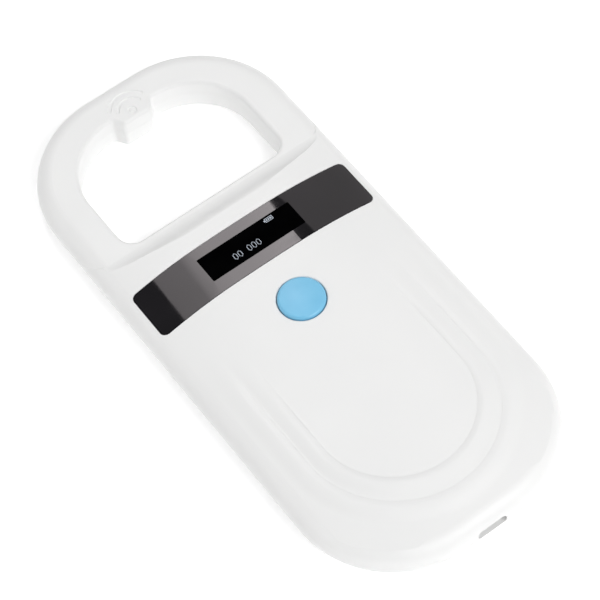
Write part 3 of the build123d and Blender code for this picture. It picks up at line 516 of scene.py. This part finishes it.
def lit_piece(name, drawings):
    """One piece from drawings, each given as marks, left edge and middle height."""
    mesh = bmesh.new()
    for marks, left, centre_y in drawings:
        lit_tiles(mesh, marks, left, centre_y)
    data = bpy.data.meshes.new(name)
    mesh.to_mesh(data)
    mesh.free()
    piece = bpy.data.objects.new(name, data)
    scene.collection.objects.link(piece)
    data.materials.append(lit_pixels)
    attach(piece, "case")


def in_window(shares):
    """A place in the display's window, from shares of its width and height."""
    return window_low.x + shares[0] * window.x, window_low.y + shares[1] * window.y


lit_pixels = lit_finish()
digits_left, digits_y = in_window(DIGITS_AT)
lit_piece(
    "lit_digits",
    [(ZERO, digits_left + cell * CELL_PIXELS * PIXEL, digits_y) for cell in CHARACTER_CELLS],
)
lit_piece("lit_battery_sign", [(BATTERY, *in_window(BATTERY_AT))])


# ---------------------------------------------------------------- floor, light and camera
FLOOR_GLOW = 0.3
FLOOR_HALF = 4.0
FLOOR_GAP = 0.02 * MM
WALL_TOP, CEILING = 0.5, 0.7     # heights on the unit sphere of the surroundings
WALL_LIGHT, CEILING_LIGHT = 0.4, 0.1
# name, azimuth, elevation, distance, width and height, power
SOFTBOXES = (
    ("overhead_sweep", 164.8, 60, 1.2, (0.363, 0.9), 6.36),
    ("front_key", 14, 46, 1.4, (1.0, 0.8), 14.8),
    ("back_fill", 186, 19, 1.4, (1.2, 0.35), 0.9),
    ("left_fill", -112, 30, 1.4, (1.3, 1.0), 5.0),
    ("right_back", 116.5, 41, 1.5, (1.05, 0.9), 2.1),
)
CAMERA_AZIMUTH, CAMERA_ELEVATION, CAMERA_ROLL = -30.15, 58.43, -7.12
CAMERA_TARGET = Vector((1.16, -2.87, 7.89)) * MM
CAMERA_DISTANCE = 590.9 * MM
SENSOR_WIDTH, FOCAL_LENGTH = 36.0, 144.35
NEAREST_VIEW = 0.01
# share of full brightness across the overhead softbox, by place along its width
SWEEP = ((0.0, 1.0), (0.06, 0.84), (0.12, 0.74), (0.385, 0.64), (0.5, 0.49), (0.58, 0.34), (1.0, 0.30))


def direction(azimuth, elevation):
    """Unit vector from the object towards something seen from that side; azimuth 0 is the -Y side."""
    a, e = math.radians(azimuth), math.radians(elevation)
    return Vector((math.sin(a) * math.cos(e), -math.cos(a) * math.cos(e), math.sin(e)))


def stage_floor():
    """A pale floor lit a little from within, which keeps the shadows faint."""
    m = Surface("pale_floor", specular=0.1)
    m.colour(m.noise(0.4, 2.0), (0.3, (0.93, 0.93, 0.93)), (0.7, (0.95, 0.95, 0.95)))
    m.rough(m.noise(0.05, 3.0), 0.55, 0.7)
    m.glow((1.0, 1.0, 1.0), FLOOR_GLOW)
    data = bpy.data.meshes.new("floor")
    signs = ((-1, -1), (1, -1), (1, 1), (-1, 1))
    data.from_pydata([(FLOOR_HALF * i, FLOOR_HALF * j, 0.0) for i, j in signs], [], [(0, 1, 2, 3)])
    floor = bpy.data.objects.new("floor", data)
    floor.location.z = cad_box[0].z - FLOOR_GAP
    scene.collection.objects.link(floor)
    data.materials.append(m.material)


def softbox(name, azimuth, elevation, distance, size, power):
    """A rectangular area light that faces the object."""
    light = bpy.data.lights.new(name, "AREA")
    light.shape = "RECTANGLE"
    light.size, light.size_y = size
    light.energy = power
    lamp = bpy.data.objects.new(name, light)
    towards = direction(azimuth, elevation)
    lamp.location = towards * distance
    lamp.rotation_euler = towards.to_track_quat("Z", "Y").to_euler()
    scene.collection.objects.link(lamp)
    return light


def grade_across(light, shares):
    """Let a softbox's brightness change across its width."""
    light.use_nodes = True
    tree = light.node_tree
    ramp = tree.nodes.new("ShaderNodeValToRGB")
    set_stops(ramp, [(place, (share, share, share)) for place, share in shares])
    across = tree.nodes.new("ShaderNodeSeparateXYZ")
    tree.links.new(tree.nodes.new("ShaderNodeNewGeometry").outputs["Parametric"], across.inputs[0])
    tree.links.new(across.outputs["X"], ramp.inputs["Fac"])
    tree.links.new(ramp.outputs["Color"], tree.nodes["Emission"].inputs["Strength"])


def studio_light():
    """Pale walls under a dark ceiling, and the softboxes."""
    world = bpy.data.worlds.new("studio")
    scene.world = world
    world.use_nodes = True
    tree = world.node_tree
    background = tree.nodes["Background"]
    background.inputs["Color"].default_value = (1.0, 1.0, 1.0, 1.0)
    split = tree.nodes.new("ShaderNodeSeparateXYZ")
    tree.links.new(tree.nodes.new("ShaderNodeTexCoord").outputs["Generated"], split.inputs[0])
    fade = spread(tree, split.outputs["Z"], (WALL_TOP, CEILING), (WALL_LIGHT, CEILING_LIGHT))
    tree.links.new(fade, background.inputs["Strength"])
    lights = [softbox(*values) for values in SOFTBOXES]
    grade_across(lights[0], SWEEP)


def photo_camera():
    """The photo's camera, looking back at its target along a fixed direction and rolled a little."""
    back = direction(CAMERA_AZIMUTH, CAMERA_ELEVATION)
    right = Vector((0.0, 0.0, 1.0)).cross(back).normalized()
    up = back.cross(right)
    roll = math.radians(CAMERA_ROLL)
    turned_right = math.cos(roll) * right + math.sin(roll) * up
    turned_up = -math.sin(roll) * right + math.cos(roll) * up
    lens = bpy.data.cameras.new("camera")
    lens.sensor_width = SENSOR_WIDTH
    lens.lens = FOCAL_LENGTH
    lens.clip_start = NEAREST_VIEW
    camera = bpy.data.objects.new("camera", lens)
    turn = Matrix((turned_right, turned_up, back)).transposed().to_4x4()
    camera.matrix_world = Matrix.Translation(CAMERA_TARGET + CAMERA_DISTANCE * back) @ turn
    scene.collection.objects.link(camera)
    scene.camera = camera


stage_floor()
studio_light()
photo_camera()
scene.view_settings.view_transform = "Standard"
